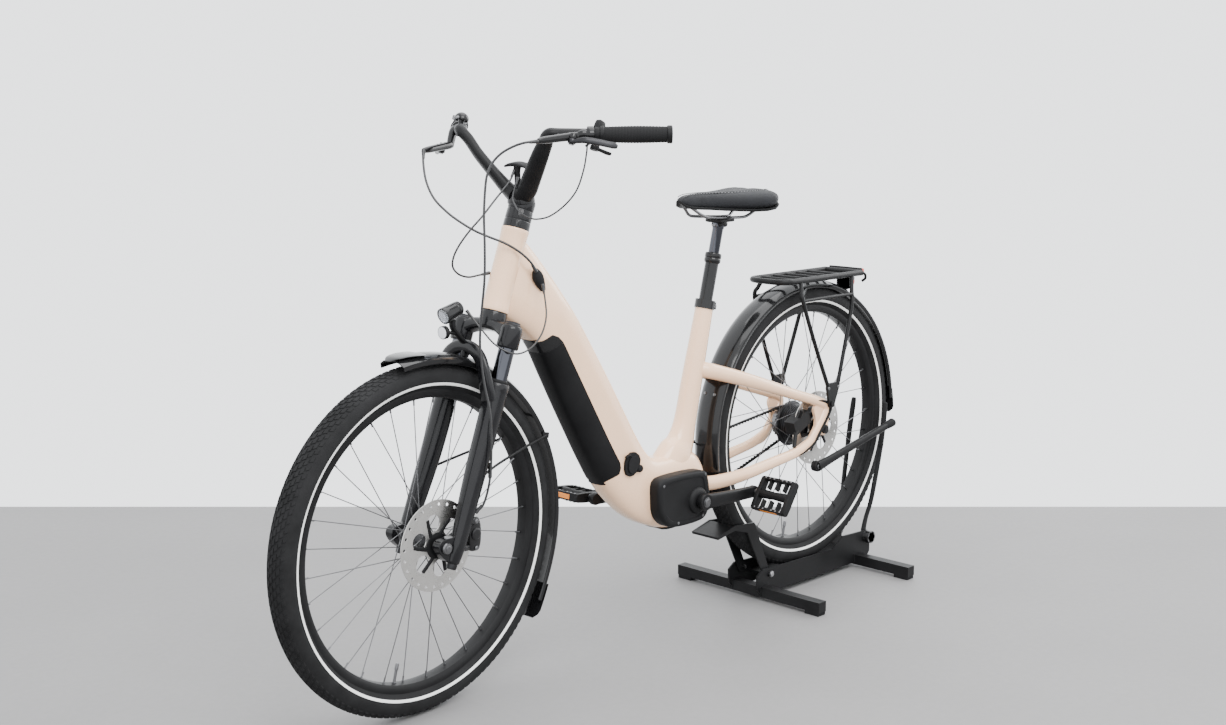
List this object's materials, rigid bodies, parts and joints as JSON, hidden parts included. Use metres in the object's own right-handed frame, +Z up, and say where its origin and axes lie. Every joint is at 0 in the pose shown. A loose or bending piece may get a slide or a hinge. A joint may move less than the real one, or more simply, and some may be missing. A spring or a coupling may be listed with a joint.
{
  "type": "bicycle on stand",
  "caption": "Step-through electric bicycle with rack, fenders and belt drive, held upright by its rear wheel in a folding floor stand.",
  "frame": {"origin": "on the floor below the middle of the bounding box", "axes": "+X forward, towards the front wheel; +Y to the rider's left; +Z up"},
  "size_m": [1.9047, 0.6139, 1.1619],
  "materials": {
    "stand_base": "satin black powder coat",
    "stand_foot_pads": "matte",
    "stand_bolts": "blackened",
    "stand_yoke": "satin black powder coat",
    "stand_arms": "satin black powder coat",
    "front_frame": "gloss cream paint",
    "seat_tube": "gloss cream paint",
    "rear_triangle": "gloss cream paint",
    "seat_clamp": "black anodised",
    "cable_guide": "black",
    "battery_pack": "satin black",
    "charge_cover": "matte",
    "motor_unit": "satin dark grey",
    "motor_covers": "satin black",
    "crank_arms": "black anodised",
    "front_sprocket": "black anodised",
    "drive_belt": "ribbed",
    "rear_sprocket": "dark",
    "left_pedal": "black",
    "right_pedal": "black",
    "rear_tyre": "treaded",
    "rear_rim": "black anodised",
    "rear_spokes": "black",
    "rear_hub": "black anodised",
    "rear_rotor": "ground",
    "rear_caliper": "satin black",
    "rear_fender": "satin black",
    "rear_rack": "satin black powder coat",
    "rack_light": "red lens",
    "kickstand": "satin black",
    "post_outer": "satin black",
    "post_inner": "polished black",
    "saddle_rails": "dark",
    "saddle": "textured dark grey cover",
    "fork_crown": "satin black",
    "fork_stanchions": "dark polished",
    "fork_lowers": "satin black",
    "front_axle": "black",
    "front_caliper": "satin black",
    "front_fender": "satin black",
    "headlight": "black",
    "front_tyre": "treaded",
    "front_rim": "black anodised",
    "front_spokes": "black",
    "front_hub": "black anodised",
    "front_rotor": "ground",
    "steering_column": "satin black",
    "handlebar": "satin black",
    "grips": "ribbed",
    "display": "black",
    "brake_bodies": "satin black",
    "left_brake_lever": "satin black",
    "right_brake_lever": "satin black",
    "remote_body": "black",
    "thumb_lever": "black",
    "bell": "gloss black",
    "bell_striker": "ground",
    "front_brake_hose": "smooth",
    "steering_cables": "smooth",
    "remote_cable": "smooth"
  },
  "bodies": {
    "stand": {"stand_base": "stand_base", "stand_foot_pads": "stand_foot_pads", "stand_bolts": "stand_bolts"},
    "yoke": {"stand_yoke": "stand_yoke"},
    "arms": {"stand_arms": "stand_arms"},
    "frame": {"front_frame": "front_frame", "seat_tube": "seat_tube", "rear_triangle": "rear_triangle", "seat_clamp": "seat_clamp", "cable_guide": "cable_guide", "motor_unit": "motor_unit", "motor_covers": "motor_covers", "drive_belt": "drive_belt", "rear_caliper": "rear_caliper", "rear_fender": "rear_fender", "rear_rack": "rear_rack", "rack_light": "rack_light", "post_outer": "post_outer"},
    "battery": {"battery_pack": "battery_pack"},
    "charge_flap": {"charge_cover": "charge_cover"},
    "crankset": {"crank_arms": "crank_arms", "front_sprocket": "front_sprocket"},
    "rear_drive": {"rear_sprocket": "rear_sprocket"},
    "pedal_left": {"left_pedal": "left_pedal"},
    "pedal_right": {"right_pedal": "right_pedal"},
    "rear_wheel": {"rear_tyre": "rear_tyre", "rear_rim": "rear_rim", "rear_spokes": "rear_spokes", "rear_hub": "rear_hub", "rear_rotor": "rear_rotor"},
    "kickstand_leg": {"kickstand": "kickstand"},
    "seat": {"post_inner": "post_inner", "saddle_rails": "saddle_rails", "saddle": "saddle"},
    "steering": {"fork_crown": "fork_crown", "fork_stanchions": "fork_stanchions", "steering_column": "steering_column", "handlebar": "handlebar", "grips": "grips", "display": "display", "brake_bodies": "brake_bodies", "remote_body": "remote_body", "bell": "bell", "remote_cable": "remote_cable", "front_brake_hose": "front_brake_hose", "steering_cables": "steering_cables"},
    "fork_slider": {"fork_lowers": "fork_lowers", "front_axle": "front_axle", "front_caliper": "front_caliper", "front_fender": "front_fender", "headlight": "headlight"},
    "front_wheel": {"front_tyre": "front_tyre", "front_rim": "front_rim", "front_spokes": "front_spokes", "front_hub": "front_hub", "front_rotor": "front_rotor"},
    "brake_lever_left": {"left_brake_lever": "left_brake_lever"},
    "brake_lever_right": {"right_brake_lever": "right_brake_lever"},
    "seat_remote_lever": {"thumb_lever": "thumb_lever"},
    "striker": {"bell_striker": "bell_striker"}
  },
  "joints": [
    {"name": "bicycle_lift", "type": "slide", "parent": "stand", "child": "frame", "axis": [0, 0, 1], "range_m": [0, 0.25]},
    {"name": "yoke_fold", "type": "hinge", "parent": "stand", "child": "yoke", "pos_m": [-0.426, 0, 0.06], "axis": [0, 1, 0], "range_deg": [0, 22]},
    {"name": "arms_fold", "type": "hinge", "parent": "stand", "child": "arms", "pos_m": [-0.822, 0, 0.072], "axis": [0, 1, 0], "range_deg": [-60, 0]},
    {"name": "steer", "type": "hinge", "parent": "frame", "child": "steering", "pos_m": [0.56377, 0, 0.33227], "axis": [-0.342, 0, 0.9397], "range_deg": [-35, 35], "deforming": ["steering_cables"]},
    {"name": "fork_travel", "type": "slide", "parent": "steering", "child": "fork_slider", "axis": [-0.342, 0, 0.9397], "range_m": [0, 0.05], "stiffness_N_per_m": 9000, "springref_m": -0.02, "deforming": ["front_brake_hose", "steering_cables"]},
    {"name": "front_wheel_turn", "type": "hinge", "parent": "fork_slider", "child": "front_wheel", "pos_m": [0.60695, 0.00225, 0.34798], "axis": [-0.0459, 0.9988, -0.0167], "continuous": true},
    {"name": "rear_wheel_turn", "type": "hinge", "parent": "frame", "child": "rear_wheel", "pos_m": [-0.59, 0, 0.3947], "axis": [0, 1, 0], "continuous": true},
    {"name": "rear_sprocket_turn", "type": "hinge", "parent": "frame", "child": "rear_drive", "pos_m": [-0.59, 0, 0.3947], "axis": [0, 1, 0], "continuous": true},
    {"name": "crank_turn", "type": "hinge", "parent": "frame", "child": "crankset", "pos_m": [-0.135, 0, 0.3], "axis": [0, 1, 0], "continuous": true},
    {"name": "left_pedal_turn", "type": "hinge", "parent": "crankset", "child": "pedal_left", "pos_m": [-0.30486, 0.14, 0.29318], "axis": [0, 1, 0], "continuous": true},
    {"name": "right_pedal_turn", "type": "hinge", "parent": "crankset", "child": "pedal_right", "pos_m": [0.03486, -0.14, 0.30682], "axis": [0, 1, 0], "continuous": true},
    {"name": "seat_height", "type": "slide", "parent": "frame", "child": "seat", "axis": [-0.245, 0, 0.9695], "range_m": [-0.055, 0], "stiffness_N_per_m": 400, "springref_m": 0.1},
    {"name": "left_brake", "type": "hinge", "parent": "steering", "child": "brake_lever_left", "pos_m": [0.3628, 0.17999, 1.11046], "axis": [-0.342, 0, 0.9397], "range_deg": [0, 12], "stiffness_Nm_per_rad": 1.2, "springref_deg": -11.46},
    {"name": "right_brake", "type": "hinge", "parent": "steering", "child": "brake_lever_right", "pos_m": [0.3899, -0.17159, 1.08627], "axis": [-0.342, 0, 0.9397], "range_deg": [-12, 0], "stiffness_Nm_per_rad": 1.2, "springref_deg": 11.46},
    {"name": "seat_remote_push", "type": "hinge", "parent": "steering", "child": "seat_remote_lever", "pos_m": [0.31509, 0.19258, 1.09629], "axis": [-0.342, 0, 0.9397], "range_deg": [-20, 0], "stiffness_Nm_per_rad": 0.5, "springref_deg": 11.46},
    {"name": "bell_strike", "type": "hinge", "parent": "steering", "child": "striker", "pos_m": [0.3717, -0.15132, 1.15095], "axis": [-0.342, 0, 0.9397], "range_deg": [-25, 0], "stiffness_Nm_per_rad": 0.2, "springref_deg": 11.46},
    {"name": "kickstand_fold", "type": "hinge", "parent": "frame", "child": "kickstand_leg", "pos_m": [-0.545, 0.086, 0.312], "axis": [0, 1, 0], "range_deg": [-112, 0]},
    {"name": "battery_release", "type": "hinge", "parent": "frame", "child": "battery", "pos_m": [0.098, 0, 0.357], "axis": [0, 1, 0], "range_deg": [0, 3]},
    {"name": "charge_flap_open", "type": "hinge", "parent": "frame", "child": "charge_flap", "pos_m": [0.0765, 0.0435, 0.41], "axis": [0, 0, 1], "range_deg": [-90, 0]}
  ],
  "couplings": [
    {"joint": "rear_sprocket_turn", "follows": "crank_turn", "ratio": 2.0909}
  ]
}
